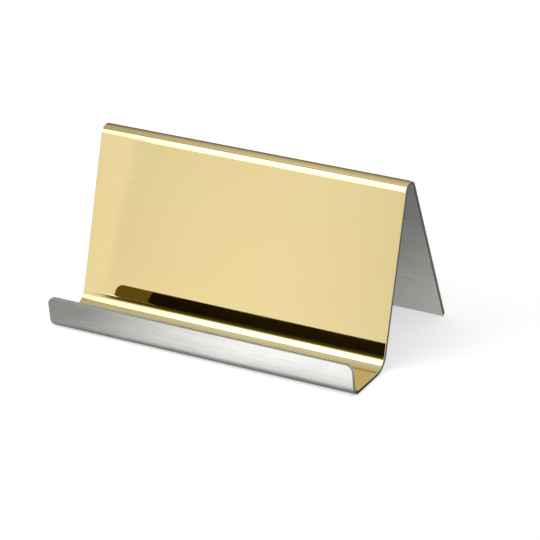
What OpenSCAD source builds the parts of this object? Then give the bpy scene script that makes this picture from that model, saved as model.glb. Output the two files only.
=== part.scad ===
// Stand for business cards, folded from one sheet of stainless steel.
// A low front lip, a flat tray floor, a card panel that leans back and a rear leg
// are joined by three rounded bends. One face of the sheet is mirror gold, the other
// is brushed steel, so the gold shows in the tray, on the panel and behind the leg.
// X runs across the width, Y from the lip to the leg, Z up. The origin is on the
// table, under the middle of the stand.

/* [Stand] */
// Width of the sheet, across the cards
stand_w = 90; // [60:1:140]
// Overall depth, from the front of the lip to the back of the leg
stand_d = 50; // [48:0.5:70]
// Overall height of the ridge above the table
stand_h = 45; // [38:0.5:50]

/* [Sheet] */
// Thickness of the brushed steel sheet
steel_t = 0.95; // [0.6:0.05:1.5]
// Thickness of the mirror gold face on the sheet
gold_t = 0.05; // [0.02:0.01:0.2]

/* [Lip] */
// Height of the lip's top edge above the table
lip_h = 9; // [6.5:0.5:16]
// Angle that the lip leans forward from upright
lip_lean = 3; // [0:0.5:12]
// Radius of the lip's two rounded top corners
lip_corner_r = 2; // [0.5:0.25:3]

/* [Tray] */
// Depth of the flat tray floor, between its two bends
floor_d = 9.5; // [4:0.5:12]

/* [Panel] */
// Angle that the card panel leans back from upright
panel_lean = 19; // [10:0.5:22]

/* [Bends] */
// Radius inside the bend between the lip and the tray
lip_bend_r = 1.75; // [0.5:0.25:2.5]
// Radius inside the bend between the tray and the panel
panel_bend_r = 4.5; // [1:0.25:7]
// Radius inside the bend over the ridge
ridge_bend_r = 1.75; // [1:0.25:3]

/* [Quality] */
// Number of steps that each bend's arc is drawn in
bend_steps = 24; // [8:4:48]

/* [Hidden] */
$fn = 4 * bend_steps;
right_angle = 90;
half_turn = 2 * right_angle;
sheet_t = steel_t + gold_t;

// Places in the profile are given in Y and Z, and so are the directions along it.
function heading(angle) = [cos(angle), sin(angle)];

// The lip's flat runs from its bend to the top edge, where the gold corner is highest.
// It puts the front of the lip at the front of the stand, and so places the tray.
lip_angle = half_turn + lip_lean;
lip_bend_z = sheet_t + lip_bend_r;
lip_flat = (lip_h - lip_bend_z + lip_bend_r * sin(lip_lean)) / cos(lip_lean);
lip_reach = lip_bend_z * cos(lip_lean) + lip_flat * sin(lip_lean);
lip_bend_at = [lip_reach - stand_d / 2, lip_bend_z];

// The panel is the common tangent of its two bends, which lie on opposite sides of it.
panel_angle = -panel_lean;
panel_bend_at = [lip_bend_at.x + floor_d, sheet_t + panel_bend_r];
ridge_z = stand_h - sheet_t - ridge_bend_r;
bend_gap = panel_bend_r + sheet_t + ridge_bend_r;
panel_flat = (ridge_z - panel_bend_at.y + bend_gap * sin(panel_lean)) / cos(panel_lean);
ridge_bend_at = panel_bend_at + bend_gap * heading(panel_angle)
    + panel_flat * heading(right_angle + panel_angle);

// The leg is cut square, so its brushed corner stands on the table and its gold
// corner is the rearmost point. Its lean and that corner's place settle together
// in a few rounds.
rounds = 5;
function foot_reach(lean) = stand_d / 2 - sheet_t * cos(lean) - ridge_bend_at.x;
function leg_span(lean) = norm([foot_reach(lean), ridge_z]);
function next_lean(lean) = atan2(foot_reach(lean), ridge_z) - asin(ridge_bend_r / leg_span(lean));
function settled_lean(n) = n < 1 ? panel_lean : next_lean(settled_lean(n - 1));
leg_lean = settled_lean(rounds);
leg_flat = sqrt(pow(leg_span(leg_lean), 2) - pow(ridge_bend_r, 2));

// Points on a bend's arc, and the end of a flat that leaves a bend at a tangent
function arc(centre, r, from, to) =
    [for (i = [0:bend_steps]) centre + r * heading(from + (to - from) * i / bend_steps)];
function flat_end(centre, r, angle, along, length) =
    centre + r * heading(angle) + length * heading(along);

// The line through the sheet at one depth below its gold face, from lip to leg. The
// gold face lies inside the lip's and the panel's bends, and outside the ridge.
function lip_end(depth) =
    flat_end(lip_bend_at, lip_bend_r + depth, lip_angle, right_angle + lip_lean, lip_flat);
function leg_end(depth) =
    flat_end(ridge_bend_at, ridge_bend_r + sheet_t - depth, leg_lean, leg_lean - right_angle, leg_flat);
function fold_line(depth) = concat(
    [lip_end(depth)],
    arc(lip_bend_at, lip_bend_r + depth, lip_angle, 3 * right_angle),
    arc(panel_bend_at, panel_bend_r + depth, -right_angle, panel_angle),
    arc(ridge_bend_at, ridge_bend_r + sheet_t - depth, half_turn + panel_angle, leg_lean),
    [leg_end(depth)]);
function backwards(points) = [for (i = [len(points) - 1:-1:0]) points[i]];

// The profile is drawn in X and Y and as wide as the stand in Z, then turned upright.
module upright() {
    rotate([right_angle, 0, right_angle]) translate([0, 0, -stand_w / 2]) children();
}

// The square corner outside a rounded one, at the top of the lip. It is drawn flat in
// the lip's own plane, from its end down, and cut through more than the sheet.
module corner_waste() {
    r = lip_corner_r;
    translate(lip_end(0)) rotate([right_angle, 0, 0] + [0, 0, right_angle + lip_lean])
        translate([-r, 0, -2 * sheet_t]) linear_extrude(3 * sheet_t) difference() {
            translate([0, -r]) square(2 * r);
            translate([0, r]) circle(r);
            translate([-r, r]) square([2 * r, r]);
        }
}

// One layer of the folded sheet, between two depths below its gold face
module sheet_layer(top, bottom) {
    upright() difference() {
        linear_extrude(stand_w) polygon(concat(fold_line(top), backwards(fold_line(bottom))));
        corner_waste();
        translate([0, 0, stand_w]) mirror([0, 0, 1]) corner_waste();
    }
}

// The brushed stainless sheet: everything under the gold face
module folded_steel_sheet() {
    color([0.72, 0.73, 0.72]) sheet_layer(gold_t, sheet_t);
}

// The mirror gold face: a thin skin over the whole of one side of the sheet
module gold_mirror_face() {
    color([0.89, 0.80, 0.52]) sheet_layer(0, gold_t);
}

folded_steel_sheet();
gold_mirror_face();
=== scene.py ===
# %% [markdown]
# # A folded stand for business cards
# The real object is one sheet of stainless steel, 90 mm wide and about 1 mm thick.
# One face is a gold mirror and the other is brushed. A press brake folds it three
# times: up into a low lip at the front, up again into the panel that the cards lean
# on, and back down over a ridge into the rear leg. This script makes the sheet the
# same way in Blender, then gives each face its finish, and lights it as a small
# product would be lit on a table.

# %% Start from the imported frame
import math

import bmesh
import bpy
from mathutils import Matrix, Vector


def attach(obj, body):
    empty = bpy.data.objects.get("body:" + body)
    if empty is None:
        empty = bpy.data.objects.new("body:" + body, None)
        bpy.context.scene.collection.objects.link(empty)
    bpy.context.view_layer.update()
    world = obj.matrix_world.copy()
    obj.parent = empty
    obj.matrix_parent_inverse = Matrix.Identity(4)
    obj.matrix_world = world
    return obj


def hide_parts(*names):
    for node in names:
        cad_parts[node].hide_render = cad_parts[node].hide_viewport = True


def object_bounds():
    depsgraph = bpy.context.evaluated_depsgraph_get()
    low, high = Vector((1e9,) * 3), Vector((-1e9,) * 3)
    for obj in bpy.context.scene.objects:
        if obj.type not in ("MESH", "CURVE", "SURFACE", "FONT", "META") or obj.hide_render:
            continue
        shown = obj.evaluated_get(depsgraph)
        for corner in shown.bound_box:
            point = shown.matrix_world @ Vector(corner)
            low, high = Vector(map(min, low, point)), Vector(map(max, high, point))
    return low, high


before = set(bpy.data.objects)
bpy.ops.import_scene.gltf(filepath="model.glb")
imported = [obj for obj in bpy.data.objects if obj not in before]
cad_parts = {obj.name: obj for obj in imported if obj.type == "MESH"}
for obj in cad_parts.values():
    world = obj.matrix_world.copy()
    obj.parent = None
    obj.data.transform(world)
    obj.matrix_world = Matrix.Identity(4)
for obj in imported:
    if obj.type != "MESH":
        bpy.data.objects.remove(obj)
cad_box = [list(corner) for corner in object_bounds()]
print("CAD box in metres:", cad_box)

# %% [markdown]
# ## The sizes of the fold
# A folded sheet is fully described by its side view: straight flats, and bends that
# are arcs. The overall width, depth and height are measured from the CAD parts, so
# the scene follows them. The other sizes are those of the folded part. All the
# lengths are in metres, because the whole scene is.

# %% Sizes
MM = 0.001
low, high = Vector(cad_box[0]), Vector(cad_box[1])
width, depth, height = high.x - low.x, high.y - low.y, high.z - low.z
sheet_t = 1.0 * MM
gold_t = 0.05 * MM
lip_h, lip_lean = 9.0 * MM, math.radians(3)
lip_corner_r, leg_corner_r = 2.0 * MM, 0.4 * MM
floor_d = 9.5 * MM
panel_lean = math.radians(19)
lip_bend_r, panel_bend_r, ridge_bend_r = 1.75 * MM, 4.5 * MM, 1.75 * MM
print("stand %.1f x %.1f x %.1f mm" % (width / MM, depth / MM, height / MM))

# %% [markdown]
# ## Where the bends' centres lie
# Each bend turns about an axis that runs across the stand. The lip puts the first
# axis, the tray floor the second, and the panel, which touches both of its bends,
# the third. The rear leg leans so that its last corner ends at the back of the
# stand. Working this out once, in side view, keeps every later step a plain move.

# %% Side view
def heading(angle):
    return Vector((0.0, math.cos(angle), math.sin(angle)))


quarter = math.radians(90)
lip_bend_z = sheet_t + lip_bend_r
lip_flat = (lip_h - lip_bend_z + lip_bend_r * math.sin(lip_lean)) / math.cos(lip_lean)
lip_reach = lip_bend_z * math.cos(lip_lean) + lip_flat * math.sin(lip_lean)
lip_axis = Vector((0.0, low.y + lip_reach, lip_bend_z))
panel_axis = Vector((0.0, lip_axis.y + floor_d, sheet_t + panel_bend_r))
ridge_z = height - sheet_t - ridge_bend_r
between = panel_bend_r + sheet_t + ridge_bend_r
panel_rise = ridge_z - panel_axis.z + between * math.sin(panel_lean)
panel_flat = panel_rise / math.cos(panel_lean)
ridge_axis = (panel_axis + between * heading(-panel_lean)
              + panel_flat * heading(quarter - panel_lean))

# %% [markdown]
# The leg's lean depends on where its last corner ends, and that on the lean, so the
# two are worked out in turn until they settle.

# %% The leg's lean
settle_rounds = 8
leg_lean = panel_lean
for _ in range(settle_rounds):
    reach = high.y - sheet_t * math.cos(leg_lean) - ridge_axis.y
    span = math.hypot(reach, ridge_z)
    leg_lean = math.atan2(reach, ridge_z) - math.asin(ridge_bend_r / span)
leg_flat = math.sqrt(span ** 2 - ridge_bend_r ** 2)
print("panel %.2f mm, leg %.2f mm, leg leans %.2f deg"
      % (panel_flat / MM, leg_flat / MM, math.degrees(leg_lean)))

# %% [markdown]
# ## Two moves that fold a sheet
# The sheet could be drawn as an outline and extruded sideways, but Blender has an
# operator for each thing that the press brake does. Extruding the front edge of the
# sheet draws a flat, and spinning it about the axis of a bend draws the bend, as a
# true arc. Each flat starts and ends with a narrow strip, so that the smooth shading
# of the bends stays out of the flats, where a mirror would show it.

# %% Draw flats and bends
strip_w = 0.15 * MM


def draw_flat(bm, edge, along, length):
    for step in (strip_w, length - 2 * strip_w, strip_w):
        grown = bmesh.ops.extrude_edge_only(bm, edges=[edge])["geom"]
        corners = [part for part in grown if isinstance(part, bmesh.types.BMVert)]
        bmesh.ops.translate(bm, verts=corners, vec=along * step)
        edge = next(e for e in bm.edges if set(e.verts) == set(corners))
    return edge


def draw_bend(bm, edge, axis_at, turn, steps):
    spun = bmesh.ops.spin(bm, geom=[edge, *edge.verts], cent=axis_at,
                          axis=(1.0, 0.0, 0.0), angle=turn, steps=steps)
    return next(part for part in spun["geom_last"]
                if isinstance(part, bmesh.types.BMEdge))


# %% [markdown]
# ## The whole fold, at any depth in the sheet
# The gold face and the steel under it follow the same fold, only deeper in the sheet.
# The gold lies inside the first two bends and outside the third, so going deeper makes
# the first two radii larger and the third one smaller. One function with a depth makes
# both pieces, and they can't drift apart. The panel, the largest flat in front of the
# ridge, tells which way the faces look: its gold face looks up.

# %% Fold the sheet
lip_steps, panel_steps, ridge_steps = 28, 40, 56


def fold_surface(deep):
    bm = bmesh.new()
    lip_top = (lip_axis + (lip_bend_r + deep) * heading(2 * quarter + lip_lean)
               + lip_flat * heading(quarter + lip_lean))
    ends = [bm.verts.new(lip_top + Vector((side * width / 2, 0.0, 0.0)))
            for side in (-1, 1)]
    edge = bm.edges.new(ends)
    edge = draw_flat(bm, edge, -heading(quarter + lip_lean), lip_flat)
    edge = draw_bend(bm, edge, lip_axis, quarter - lip_lean, lip_steps)
    edge = draw_flat(bm, edge, heading(0.0), floor_d)
    edge = draw_bend(bm, edge, panel_axis, quarter - panel_lean, panel_steps)
    edge = draw_flat(bm, edge, heading(quarter - panel_lean), panel_flat)
    over_ridge = leg_lean + panel_lean - 2 * quarter
    edge = draw_bend(bm, edge, ridge_axis, over_ridge, ridge_steps)
    draw_flat(bm, edge, heading(leg_lean - quarter), leg_flat)
    bmesh.ops.recalc_face_normals(bm, faces=bm.faces)
    in_front = [face for face in bm.faces if face.calc_center_median().y < ridge_axis.y]
    panel = max(in_front, key=lambda face: face.calc_area())
    if panel.normal.z < 0:
        bmesh.ops.reverse_faces(bm, faces=bm.faces)
    return bm


# %% [markdown]
# ## Rounded corners
# The lip's two top corners are cut round before the sheet is folded, and the leg's two
# are only taken off, so that they don't scratch. While the sheet has no thickness,
# that is a bevel of two corner points at each end. The narrow strip beside the cut end
# would stop the bevel short, so it is dissolved into the flat first.

# %% Round the corners
at_end, past_strip = 0.01 * MM, 0.4 * MM
lip_corner_steps, leg_corner_steps = 14, 6


def round_end(bm, to_end, radius, segments):
    """to_end tells how far a place is from the cut end."""
    strip = [edge for edge in bm.edges
             if all(at_end < to_end(vert.co) < past_strip for vert in edge.verts)]
    bmesh.ops.dissolve_edges(bm, edges=strip, use_verts=True)
    corners = [vert for vert in bm.verts if to_end(vert.co) < at_end]
    bmesh.ops.bevel(bm, geom=corners, offset=radius, segments=segments, profile=0.5,
                    affect="VERTICES", material=-1)


def round_corners(bm):
    top = max(vert.co.z for vert in bm.verts if vert.co.y < lip_axis.y)
    rear = max(vert.co.y for vert in bm.verts)
    round_end(bm, lambda at: top - at.z if at.y < lip_axis.y else depth,
              lip_corner_r, lip_corner_steps)
    round_end(bm, lambda at: rear - at.y, leg_corner_r, leg_corner_steps)


# %% [markdown]
# ## Thickness and eased edges
# Solidify gives the sheet its thickness, away from the gold. The rims of a real sheet
# are tumbled so that they don't cut a hand, so both get a small round bevel. Each face
# is marked with the part of the sheet that it belongs to, because the gold, the brushed
# steel and the cut edges get different finishes. The bevel on the brushed side counts
# as cut edge, because tumbling takes the brushing off there, and it draws the thin
# outline around the brushed face. A narrow inset ring keeps the bevel's shading out of
# the wide flats, as the strips do at the bends.

# %% Ease an edge
CUT, GOLD, GOLD_EDGE, BRUSHED = 0, 1, 2, 3
eased_r, eased_steps, ring_w = 0.12 * MM, 4, 0.04 * MM


def ease_round(bm, part, mark, bevel_mark):
    """Bevels the edges between the faces that carry one mark and the others."""
    edges = [edge for edge in bm.edges
             if len({face[part] for face in edge.link_faces}) == 2
             and any(face[part] == mark for face in edge.link_faces)]
    bevel = bmesh.ops.bevel(bm, geom=edges, offset=eased_r, segments=eased_steps,
                            profile=0.5, affect="EDGES", clamp_overlap=True,
                            material=-1)
    for face in bevel["faces"]:
        face[part] = bevel_mark


# %% [markdown]
# Solidify keeps the drawn faces where they are and adds the others. So a face whose
# centre was there before is gold, one that shares no point with the gold is on the
# brushed side, and what lies between the two is cut edge.

# %% Make the blank
def centre_in_mm(face):
    return tuple(round(c / MM, 3) for c in face.calc_center_median())


def make_blank(deep, thickness):
    bm = fold_surface(deep)
    part = bm.faces.layers.int.new("part")
    round_corners(bm)
    drawn = {centre_in_mm(face) for face in bm.faces}
    bmesh.ops.solidify(bm, geom=list(bm.faces), thickness=thickness)
    gold_verts = set()
    for face in bm.faces:
        stayed = centre_in_mm(face) in drawn
        face[part] = GOLD if stayed else CUT
        gold_verts.update(face.verts if stayed else ())
    for face in bm.faces:
        if not gold_verts.intersection(face.verts):
            face[part] = BRUSHED
    ease_round(bm, part, GOLD, GOLD_EDGE)
    ease_round(bm, part, BRUSHED, CUT)
    for mark in (GOLD, BRUSHED):
        side = [face for face in bm.faces if face[part] == mark]
        bmesh.ops.inset_region(bm, faces=side, thickness=ring_w, use_boundary=True,
                               use_even_offset=True)
    print("blank %.2f mm thick: %d faces, %.1f mm3"
          % (thickness / MM, len(bm.faces), bm.calc_volume() / MM ** 3))
    return bm, part


# %% [markdown]
# ## The way of the grain
# Brushed steel shines differently along its lines and across them, so the finish has to
# know which way the lines run on each face. A UV map tells it: V follows the width, as
# the lines do, and U runs round the fold, across them. On a face that looks sideways,
# such as a cut end, the fold has no way of its own, so U runs upwards there.

# %% Lay the grain
uv_per_metre, sideways_limit = 20, 0.3


def lay_grain(bm):
    grain_uv = bm.loops.layers.uv.new("grain")
    for face in bm.faces:
        along = Vector((1.0, 0.0, 0.0)).cross(face.normal)
        looks_sideways = along.length <= sideways_limit
        along = Vector((0.0, 0.0, 1.0)) if looks_sideways else along.normalized()
        for loop in face.loops:
            at = loop.vert.co
            loop[grain_uv].uv = (along.dot(at) * uv_per_metre, at.x * uv_per_metre)


# %% [markdown]
# ## The steel sheet and the gold face
# The two are one sheet in the hand, but the library keeps them as two parts, so two
# pieces stand for them. The steel sheet is a whole blank that starts where the gold
# ends. The gold face is the outer skin of a full blank with the rest deleted, and it
# rolls over the eased edge, which is what gives the real one its thin bright outline.

# %% Build the two pieces
def finish_piece(bm, name):
    lay_grain(bm)
    mesh = bpy.data.meshes.new(name)
    bm.to_mesh(mesh)
    bm.free()
    mesh.polygons.foreach_set("use_smooth", [True] * len(mesh.polygons))
    piece = bpy.data.objects.new(name, mesh)
    bpy.context.scene.collection.objects.link(piece)
    print(name, len(mesh.polygons), "faces,", len(mesh.vertices), "points")
    return piece


steel_bm, part = make_blank(gold_t, sheet_t - gold_t)
for face in steel_bm.faces:
    face.material_index = 0 if face[part] == BRUSHED else 1
steel_sheet = finish_piece(steel_bm, "brushed_sheet")

gold_bm, part = make_blank(0.0, sheet_t)
rest = [face for face in gold_bm.faces if face[part] not in (GOLD, GOLD_EDGE)]
bmesh.ops.delete(gold_bm, geom=rest, context="FACES")
bmesh.ops.solidify(gold_bm, geom=list(gold_bm.faces), thickness=gold_t)
gold_face = finish_piece(gold_bm, "gold_mirror")

# %% [markdown]
# ## Small helpers for the nodes
# A finish is a row of small sums: a noise times a number, one colour faded into
# another. Each of these helpers adds one node or a few and hands back an output, so
# that the finishes below read like those sums. Where a helper takes a value, that can
# be a number or the output of another node.

# %% Sums of nodes
def plug(tree, value, socket):
    if isinstance(value, bpy.types.NodeSocket):
        tree.links.new(value, socket)
    else:
        socket.default_value = value


def math_node(tree, operation, first, second, clamp=False):
    node = tree.nodes.new("ShaderNodeMath")
    node.operation = operation
    node.use_clamp = clamp
    plug(tree, first, node.inputs[0])
    plug(tree, second, node.inputs[1])
    return node.outputs[0]


def product(tree, first, *others):
    for other in others:
        first = math_node(tree, "MULTIPLY", first, other)
    return first


def one_minus(tree, value):
    return math_node(tree, "SUBTRACT", 1.0, value)


# %% [markdown]
# Fades do most of the work. A fade gives one level before a span, another one past it,
# and passes smoothly from one to the other in between.

# %% Fades, colours and places
RISE, FALL = (0.0, 1.0), (1.0, 0.0)


def fade(tree, value, span, levels, shape="SMOOTHSTEP"):
    node = tree.nodes.new("ShaderNodeMapRange")
    node.interpolation_type = shape
    for label, number in zip(("From Min", "From Max", "To Min", "To Max"),
                             (*span, *levels)):
        node.inputs[label].default_value = number
    tree.links.new(value, node.inputs["Value"])
    return node.outputs["Result"]


def mix_colours(tree, factor, first, second, blend="MIX"):
    node = tree.nodes.new("ShaderNodeMix")
    node.data_type, node.blend_type = "RGBA", blend
    plug(tree, factor, node.inputs["Factor"])
    for colour, label in ((first, "A"), (second, "B")):
        value = (*colour, 1.0) if isinstance(colour, tuple) else colour
        plug(tree, value, node.inputs[label])
    return node.outputs["Result"]


def split_xyz(tree, coordinates):
    """X, Y and Z of a place on the piece itself, or of a direction in the room."""
    where = tree.nodes.new("ShaderNodeTexCoord")
    split = tree.nodes.new("ShaderNodeSeparateXYZ")
    tree.links.new(where.outputs[coordinates], split.inputs[0])
    return split.outputs


# %% [markdown]
# ## Noise that is stretched
# Every effect below is a noise that is stretched by a different scale. A large scale
# makes it fine, and a scale that is smaller along X draws it out into lines along X.
# Each effect goes into a node group, so that more than one material can use it.

# %% Groups and noise
def new_group(name, inputs, outputs):
    group = bpy.data.node_groups.new(name, "ShaderNodeTree")
    for label, kind, value in inputs:
        socket = group.interface.new_socket(label, in_out="INPUT", socket_type=kind)
        if value is not None:
            socket.default_value = value
    for label, kind in outputs:
        group.interface.new_socket(label, in_out="OUTPUT", socket_type=kind)
    return group, group.nodes.new("NodeGroupInput"), group.nodes.new("NodeGroupOutput")


def stretched_noise(tree, place, scale, detail):
    stretch = tree.nodes.new("ShaderNodeMapping")
    stretch.inputs["Scale"].default_value = scale
    noise = tree.nodes.new("ShaderNodeTexNoise")
    noise.inputs["Scale"].default_value = 1.0
    noise.inputs["Detail"].default_value = detail
    tree.links.new(place, stretch.inputs["Vector"])
    tree.links.new(stretch.outputs[0], noise.inputs["Vector"])
    return noise.outputs["Fac"]


# %% [markdown]
# ## Brushed grain
# A belt brushes the sheet along its width, and leaves fine lines of different lengths
# and depths. Hair lines and wider lines are mixed, because one size alone looks like
# cloth. Broad soft bands, as a worn belt leaves them, change the shade alone, because
# they are too shallow to bend a mirror image. The group is used by the brushed face
# and, with stronger bands, by the cut edges.

# %% Group: brushed grain
hair_scale, line_scale = (200.0, 3200.0, 3200.0), (60.0, 1100.0, 1100.0)
band_scale = (40.0, 170.0, 170.0)
hair_share, line_share, darker = 0.8, 0.45, 0.125

grain, ask, give = new_group(
    "brushed_grain",
    [("Place", "NodeSocketVector", None), ("Bands", "NodeSocketFloat", 0.4)],
    [("Shade", "NodeSocketFloat"), ("Height", "NodeSocketFloat")])
hair = stretched_noise(grain, ask.outputs["Place"], hair_scale, detail=3.0)
lines = stretched_noise(grain, ask.outputs["Place"], line_scale, detail=2.0)
bands = stretched_noise(grain, ask.outputs["Place"], band_scale, detail=2.0)
fine = math_node(grain, "ADD", product(grain, hair, hair_share),
                 product(grain, lines, line_share))
fine = math_node(grain, "SUBTRACT", fine, darker)
banded = product(grain, math_node(grain, "SUBTRACT", bands, 0.5),
                 ask.outputs["Bands"])
grain.links.new(math_node(grain, "ADD", fine, banded, clamp=True), give.inputs["Shade"])
grain.links.new(fine, give.inputs["Height"])
print("group", grain.name, "with", len(grain.nodes), "nodes")

# %% [markdown]
# ## Polished skin
# The gold face is polished and then coloured in a vacuum, so it mirrors nearly
# perfectly. What is left is a faint waviness of the rolled sheet, faint polishing
# marks, and a colour that is a little deeper where the coating is thicker.

# %% Group: polished skin
polish, ask, give = new_group(
    "polished_skin",
    [("Place", "NodeSocketVector", None)],
    [("Tone", "NodeSocketFloat"), ("Haze", "NodeSocketFloat"),
     ("Waves", "NodeSocketFloat")])
for label, scale, detail in (("Tone", (22.0, 30.0, 30.0), 1.0),
                             ("Haze", (60.0, 420.0, 420.0), 4.0),
                             ("Waves", (45.0, 60.0, 60.0), 1.0)):
    noise = stretched_noise(polish, ask.outputs["Place"], scale, detail)
    polish.links.new(noise, give.inputs[label])
print("group", polish.name, "with", len(polish.nodes), "nodes")

# %% [markdown]
# ## Three finishes
# All three are metal, so the Principled shader's Metallic is 1 and Base Color is the
# colour that the metal gives to what it mirrors. The groups only vary the colour and
# the roughness a little and feed a Bump node.

# %% Start a finish
noise_span = (0.3, 0.7)


def new_finish(name, group):
    material = bpy.data.materials.new(name)
    material.use_nodes = True
    tree = material.node_tree
    where = tree.nodes.new("ShaderNodeTexCoord")
    effect = tree.nodes.new("ShaderNodeGroup")
    effect.node_tree = group
    tree.links.new(where.outputs["Object"], effect.inputs["Place"])
    shader = tree.nodes["Principled BSDF"]
    shader.inputs["Metallic"].default_value = 1.0
    return material, tree, effect, shader


def set_roughness(tree, shader, noise, levels):
    """Noise stays mostly in the middle of its range, so that part is spread out."""
    roughness = fade(tree, noise, noise_span, levels, "LINEAR")
    tree.links.new(roughness, shader.inputs["Roughness"])


def add_bump(tree, shader, height, strength, distance):
    bump = tree.nodes.new("ShaderNodeBump")
    bump.inputs["Strength"].default_value = strength
    bump.inputs["Distance"].default_value = distance
    tree.links.new(height, bump.inputs["Height"])
    tree.links.new(bump.outputs["Normal"], shader.inputs["Normal"])


# %% [markdown]
# ### Polished gold
# The tray between lip and panel gets a paler gold colour, a painted reflection tone that
# stands in for the light the tray mirrors from the panel. The tray is the lowest part, so
# the height of a place tells whether it is on the tray's floor.

# %% Material: polished gold
deep_gold, pale_gold = (0.85, 0.675, 0.312), (0.88, 0.79, 0.48)
tone_share, tray_paleness = 0.4, 0.6
tray_to_bend = (1.1 * MM, 1.8 * MM)

gold_finish, tree, effect, shader = new_finish("polished_gold", polish)
# Painted reflection tone: the tray's floor gets a paler gold, which stands in for the
# light that it mirrors.
painted_tray_tone = fade(tree, split_xyz(tree, "Object")["Z"], tray_to_bend,
               (tray_paleness, 0.0))
tone = product(tree, effect.outputs["Tone"], tone_share)
# The random tone and the painted paler tray add up here.
tone_and_painted_tray = math_node(tree, "ADD", tone, painted_tray_tone)
tree.links.new(mix_colours(tree, tone_and_painted_tray, deep_gold, pale_gold),
               shader.inputs["Base Color"])
set_roughness(tree, shader, effect.outputs["Haze"], levels=(0.02, 0.05))
add_bump(tree, shader, effect.outputs["Waves"], strength=0.04, distance=0.2 * MM)
print("finish", gold_finish.name, "of", len(tree.nodes), "nodes")

# %% [markdown]
# ### Brushed face
# Brushing spreads a highlight across the lines more than along them, which is what
# Anisotropic does. A Tangent node reads the way across the lines from the UV map.

# %% Material: brushed face
dark_steel, light_steel = (0.52, 0.525, 0.505), (0.92, 0.915, 0.885)

brushed_finish, tree, effect, shader = new_finish("brushed_face", grain)
tree.links.new(mix_colours(tree, effect.outputs["Shade"], dark_steel, light_steel),
               shader.inputs["Base Color"])
set_roughness(tree, shader, effect.outputs["Shade"], levels=(0.27, 0.36))
add_bump(tree, shader, effect.outputs["Height"], strength=0.25, distance=0.03 * MM)
shader.inputs["Anisotropic"].default_value = 0.6
tangent = tree.nodes.new("ShaderNodeTangent")
tangent.direction_type = "UV_MAP"
tangent.uv_map = "grain"
tree.links.new(tangent.outputs[0], shader.inputs["Tangent"])
print("finish", brushed_finish.name, "of", len(tree.nodes), "nodes")

# %% [markdown]
# ### Cut edges
# The cut edges are dark and dull from the shears. The lip's rim is given a lighter colour
# instead, a painted highlight for the light that it catches. The lip is the foremost part,
# so the Y of a place tells the two apart, and one fades into the other in the lip's bend.

# %% Material: cut edge
dark_cut, light_cut = (0.07, 0.07, 0.07), (0.16, 0.16, 0.156)
# Painted highlight: the lip's cut rim is coloured lighter than the other cut edges.
painted_rim_highlight = (0.48, 0.48, 0.465)
rim_to_cut = (-23.8 * MM, -22.6 * MM)

cut_finish, tree, effect, shader = new_finish("cut_edge", grain)
effect.inputs["Bands"].default_value = 0.9
sheared = mix_colours(tree, effect.outputs["Shade"], dark_cut, light_cut)
rim_highlight_mask = fade(tree, split_xyz(tree, "Object")["Y"], rim_to_cut, FALL)
tree.links.new(mix_colours(tree, rim_highlight_mask, sheared, painted_rim_highlight),
               shader.inputs["Base Color"])
set_roughness(tree, shader, effect.outputs["Shade"], levels=(0.38, 0.55))
add_bump(tree, shader, effect.outputs["Height"], strength=0.3, distance=0.03 * MM)
print("finish", cut_finish.name, "of", len(tree.nodes), "nodes")

# %% [markdown]
# ## Put the pieces in the frame
# Both pieces already lie where the CAD parts are, so nothing is moved. Each takes its
# finish, rides on the stand's one body, and replaces the CAD part that it stands for.

# %% Dress the frame
steel_sheet.data.materials.append(brushed_finish)
steel_sheet.data.materials.append(cut_finish)
gold_face.data.materials.append(gold_finish)
for piece, slot, node in ((steel_sheet, "brushed_steel", "folded_steel_sheet"),
                          (gold_face, "gold_mirror", "gold_mirror_face")):
    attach(piece, "root")
    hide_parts(node)
    print(piece.name, "stands for", node)

# %% [markdown]
# ## The table
# A pale table runs to the horizon. It is not part of the stand.

# %% Table top
def flat_sheet(name, size_x, size_y):
    mesh = bpy.data.meshes.new(name)
    drawn = bmesh.new()
    bmesh.ops.create_grid(drawn, x_segments=1, y_segments=1, size=0.5)
    bmesh.ops.scale(drawn, verts=drawn.verts, vec=(size_x, size_y, 1.0))
    drawn.to_mesh(mesh)
    drawn.free()
    sheet = bpy.data.objects.new(name, mesh)
    bpy.context.scene.collection.objects.link(sheet)
    return sheet


table_w = 12.0
table_top = flat_sheet("table_top", table_w, table_w)
print("table %.0f m wide" % table_w)

# %% [markdown]
# The camera sees the table white. The brushed faces mirror the part of it that lies next
# to them, the lip the part in front of it and the leg the part under the stand, and those
# parts of the stand aren't equally bright: the lip's left end, the foot of its bend and
# the leg's upper part are grey. So the table that is mirrored gets painted light, an
# emission that only mirrors see, and painted shade, a darker colour that only mirrors see,
# by its own place, and the table that is seen keeps only the stand's shadow. Each span
# below is two places on the table, in metres from its middle. The stand covers it from
# -0.025 to 0.025 in Y and from -0.045 to 0.045 in X.

# %% Table paper
paper_grey, black = (0.80, 0.80, 0.80), (0.0, 0.0, 0.0)
front_to_lip, front_left_to_right = (-0.034, -0.0255), (-0.042, 0.014)
under_lip_to_leg, left_to_middle = (-0.010, 0.024), (-0.052, -0.004)
foot_begins, foot_ends = (-0.0285, -0.0245), (-0.018, -0.012)
seen_light, front_light, under_light = 0.50, (0.0, 0.75), (0.10, 0.27)
foot_shade, left_shade = 0.58, 0.60

paper = bpy.data.materials.new("table_paper")
paper.use_nodes = True
tree = paper.node_tree
shader = tree.nodes["Principled BSDF"]
shader.inputs["Roughness"].default_value = 0.9
shader.inputs["Specular IOR Level"].default_value = 0.0
shader.inputs["Emission Color"].default_value = (1.0, 1.0, 1.0, 1.0)
path = tree.nodes.new("ShaderNodeLightPath").outputs
place = split_xyz(tree, "Object")

# Painted light: an emission that only mirrors see, brighter in front of the lip and under
# the stand, and dimmed at the lip's foot.
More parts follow.
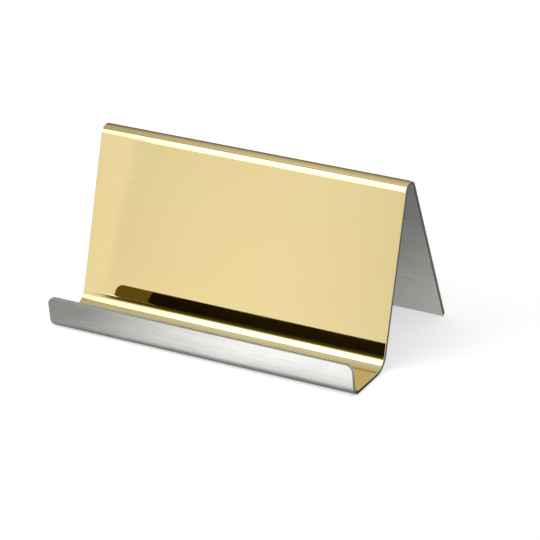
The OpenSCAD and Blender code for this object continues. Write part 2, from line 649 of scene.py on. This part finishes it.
in_front = fade(tree, place["Y"], front_to_lip, FALL)
at_foot = product(tree, fade(tree, place["Y"], foot_begins, (0.0, foot_shade)),
                  fade(tree, place["Y"], foot_ends, FALL))
front = product(tree, fade(tree, place["X"], front_left_to_right, front_light), in_front)
under = product(tree, fade(tree, place["Y"], under_lip_to_leg, under_light),
                one_minus(tree, in_front))
mirrored = product(tree, math_node(tree, "ADD", front, under),
                   one_minus(tree, at_foot), path["Is Glossy Ray"])
seen = product(tree, path["Is Camera Ray"], seen_light)
tree.links.new(math_node(tree, "ADD", seen, mirrored), shader.inputs["Emission Strength"])

# Painted shade: the mirrored table is darker towards the left and at the lip's foot.
at_left = fade(tree, place["X"], left_to_middle, (left_shade, 0.0))
shade = product(tree, math_node(tree, "MAXIMUM", at_left, at_foot),
                path["Is Glossy Ray"])
tree.links.new(mix_colours(tree, shade, paper_grey, black), shader.inputs["Base Color"])
table_top.data.materials.append(paper)
print("paper of", len(tree.nodes), "nodes")

# %% [markdown]
# ## The room
# A mirror shows the room and not itself, so the room decides how the gold looks. Low
# down, where the panel looks, the room is nearly white. Above that it is dark, with
# one thin bright strip at the foot of the dark part, and pale again overhead, so the
# two bends show it as a row of stripes. A wall is drawn here as rows of a height, the
# brightness there, and how warm it is. Height 0 is the horizon and 1 is straight up.

# %% Walls by height
less_green, less_blue = 0.12, 0.70
FRONT_WALL = ((0.0, 1.06, 0), (0.085, 1.06, 0), (0.12, 0.98, 0), (0.165, 0.95, 0),
              (0.29, 0.03, 1), (0.415, 0.06, 1), (0.49, 0.16, 0.8), (0.58, 0.55, 0.3),
              (0.70, 0.58, 0), (0.85, 0.58, 0), (0.88, 0.80, 0), (1.0, 0.84, 0))
BACK_WALL = ((0.0, 0.12, 1), (0.25, 0.16, 1), (0.4, 0.28, 0.3), (0.6, 0.42, 0),
             (0.78, 0.60, 0), (1.0, 0.70, 0))
PLAIN_WALL = ((0.0, 1.0, 0), (0.2, 0.95, 0), (0.5, 0.80, 0), (0.8, 0.72, 0),
              (1.0, 0.75, 0))


def by_height(tree, height, rows):
    ramp = tree.nodes.new("ShaderNodeValToRGB")
    ramp.color_ramp.interpolation = "EASE"
    while len(ramp.color_ramp.elements) < len(rows):
        ramp.color_ramp.elements.new(0.5)
    for element, (at, level, warm) in zip(ramp.color_ramp.elements, rows):
        element.position = at
        element.color = (level, level * (1 - less_green * warm),
                         level * (1 - less_blue * warm), 1.0)
    tree.links.new(height, ramp.inputs["Fac"])
    return ramp.outputs["Color"]


# %% [markdown]
# The front wall also has the bright strip, which is dimmer at its left end. Past that
# end the wall is white up to two thirds of its height, because the photograph shows no
# dark line at the left end of the lower bend. Every span below is two values of a
# direction's X, Y or Z.

# %% Front wall
strip_foot, strip_top, strip_end = (0.182, 0.205), (0.262, 0.286), (-0.517, -0.503)
white_end, white_top = (-0.5142, -0.5116), (0.60, 0.75)
strip_light, strip_end_share, white_light = 3.2, 0.3, 1.12

room = bpy.data.worlds.new("studio_room")
bpy.context.scene.world = room
room.use_nodes = True
tree = room.node_tree
way = split_xyz(tree, "Generated")
strip = product(tree, fade(tree, way["Z"], strip_foot, (0.0, strip_light)),
                fade(tree, way["Z"], strip_top, FALL),
                fade(tree, way["X"], strip_end, (strip_end_share, 1.0)))
white = product(tree, fade(tree, way["X"], white_end, (white_light, 0.0)),
                fade(tree, way["Z"], white_top, FALL))
front_wall = mix_colours(tree, 1.0, by_height(tree, way["Z"], FRONT_WALL),
                         math_node(tree, "MAXIMUM", white, strip), "LIGHTEN")
print("front wall of", len(tree.nodes), "nodes")

# %% [markdown]
# The wall behind is another one, and both are only as wide as the photograph shows
# them. Beyond them the room is plain and pale, so the stand looks plain from its other
# sides.

# %% All walls
front_to_back = (-0.2, 0.3)
walls_begin, walls_end = (-0.62, -0.56), (-0.38, -0.32)

at_back = fade(tree, way["Y"], front_to_back, RISE, "LINEAR")
walls = mix_colours(tree, at_back, front_wall, by_height(tree, way["Z"], BACK_WALL))
on_walls = product(tree, fade(tree, way["X"], walls_begin, RISE),
                   fade(tree, way["X"], walls_end, FALL))
walls = mix_colours(tree, on_walls, by_height(tree, way["Z"], PLAIN_WALL), walls)
print("walls of", len(tree.nodes), "nodes")

# %% [markdown]
# The camera sees a white backdrop instead of the walls, and the walls that are mirrored
# get a little darker towards both ends. Light that has been mirrored three times is
# held back, so that the fold between lip and panel goes dark, as it does between two
# mirrors in a room that isn't white all round.

# %% Light of the room
middle_way, dim_rate, dimmest, room_late_share = -0.470, 55.0, 0.82, 0.035


def held_back(tree, value, mirrors, share):
    """Only a share of value, for light that has met more than so many mirrors."""
    met = tree.nodes.new("ShaderNodeLightPath").outputs["Glossy Depth"]
    late = math_node(tree, "GREATER_THAN", met, mirrors)
    return product(tree, value, one_minus(tree, product(tree, late, 1 - share)))


by_camera = tree.nodes.new("ShaderNodeLightPath").outputs["Is Camera Ray"]
off_middle = math_node(tree, "POWER",
                       math_node(tree, "SUBTRACT", way["X"], middle_way), 2.0)
dimmed = one_minus(tree, product(tree, off_middle, dim_rate))
dimmed = math_node(tree, "MAXIMUM", dimmed, dimmest)
dimmed = held_back(tree, dimmed, 2, room_late_share)
backdrop = tree.nodes["Background"]
tree.links.new(mix_colours(tree, by_camera, walls, (1.0, 1.0, 1.0)),
               backdrop.inputs["Color"])
tree.links.new(math_node(tree, "MAXIMUM", dimmed, by_camera),
               backdrop.inputs["Strength"])
print("room of", len(tree.nodes), "nodes")

# %% [markdown]
# ## The soft light
# One soft box hangs close in front of the stand and to its left, higher than the
# panel looks. The bends sweep the view of a mirror upwards, so each bend shows the box
# as one crisp white stripe, and that stripe tells the eye that the sheet is curved. A
# real soft box fades towards its frame, which an area lamp can't do, so this one is a
# card that gives light, and the camera doesn't see it.

# %% Hang the soft box
box_place, box_looks = Vector((-0.054, -0.0644, 0.1109)), Vector((0.0, 0.070, -0.080))
box_w, box_h = 0.150, 0.095
soft_box = flat_sheet("soft_box", box_w, box_h)
soft_box.location = box_place
soft_box.rotation_euler = box_looks.to_track_quat("Z", "Y").to_euler()
soft_box.visible_camera = False
print("soft box %.0f x %.0f mm" % (box_w / MM, box_h / MM))

# %% [markdown]
# The card looks at the stand, so its own X runs to the left and its own Y runs up. It
# is brightest above its middle, and dimmer towards its foot and its left end. Its light
# is held back from the second mirror on, because the photograph shows no second image
# of it in the tray.

# %% Light of the cloth
UP_THE_CLOTH = ((0.0, 0.38, 0), (0.21, 0.70, 0), (0.42, 1.0, 0), (0.86, 1.0, 0),
                (0.93, 0.0, 0), (1.0, 0.0, 0))
left_to_bright, left_level = (-0.055, -0.005), 0.62
full_light, least_light = 3.4, 0.58
second_mirror_share, third_mirror_share = 0.20, 0.03

cloth = bpy.data.materials.new("lit_cloth")
cloth.use_nodes = True
tree = cloth.node_tree
tree.nodes.remove(tree.nodes["Principled BSDF"])
place = split_xyz(tree, "Object")
to_right = product(tree, place["X"], -1.0)
up = math_node(tree, "ADD", math_node(tree, "DIVIDE", place["Y"], box_h), 0.5)
light = product(tree, fade(tree, to_right, left_to_bright, (left_level, 1.0)),
                by_height(tree, up, UP_THE_CLOTH), full_light)
light = math_node(tree, "MAXIMUM", light, least_light)
light = held_back(tree, light, 1, second_mirror_share)
light = held_back(tree, light, 2, third_mirror_share)
emission = tree.nodes.new("ShaderNodeEmission")
tree.links.new(light, emission.inputs["Strength"])
print("cloth from %.2f to %.2f" % (least_light, full_light))

# %% [markdown]
# The card is clear from behind and fades out at both ends, so nothing but its light
# shows in the gold.

# %% Clear ends and back
left_end, right_end = (-0.075, -0.060), (0.050, 0.075)
behind = tree.nodes.new("ShaderNodeNewGeometry").outputs["Backfacing"]
shown = product(tree, fade(tree, to_right, left_end, RISE),
                fade(tree, to_right, right_end, FALL), one_minus(tree, behind))
clear = tree.nodes.new("ShaderNodeBsdfTransparent")
one_side = tree.nodes.new("ShaderNodeMixShader")
tree.links.new(shown, one_side.inputs["Fac"])
tree.links.new(clear.outputs[0], one_side.inputs[1])
tree.links.new(emission.outputs[0], one_side.inputs[2])
tree.links.new(one_side.outputs[0], tree.nodes["Material Output"].inputs["Surface"])
soft_box.data.materials.append(cloth)
print("cloth of", len(tree.nodes), "nodes")

# %% [markdown]
# ## The camera
# The camera's place was found by fitting the folded sheet's edges to the photograph.
# It stands to the right of the front, looks down on the stand, uses a long lens, and
# is tilted by about three degrees.

# %% Camera
picture_w, focal_in_pixels, sensor_in_mm = 540, 2900.27, 36.0
camera_place = (0.354627, -0.570498, 0.343722)
turn, rise, roll = (math.radians(angle) for angle in (31.299, 26.112, -2.922))

camera_data = bpy.data.cameras.new("photo_camera")
camera_data.sensor_width = sensor_in_mm
camera_data.lens = focal_in_pixels / picture_w * sensor_in_mm
camera_data.clip_start = 0.01
camera = bpy.data.objects.new("photo_camera", camera_data)
bpy.context.scene.collection.objects.link(camera)
back_way = Vector((math.sin(turn) * math.cos(rise), -math.cos(turn) * math.cos(rise),
                   math.sin(rise)))
right_way = Vector((math.cos(turn), math.sin(turn), 0.0))
up_way = back_way.cross(right_way)
rolled_right = math.cos(roll) * right_way + math.sin(roll) * up_way
rolled_up = -math.sin(roll) * right_way + math.cos(roll) * up_way
camera.matrix_world = Matrix.Translation(camera_place) @ Matrix(
    (rolled_right, rolled_up, back_way)).transposed().to_4x4()
bpy.context.scene.camera = camera
bpy.context.scene.view_settings.view_transform = "Standard"
print("lens %.1f mm" % camera_data.lens)
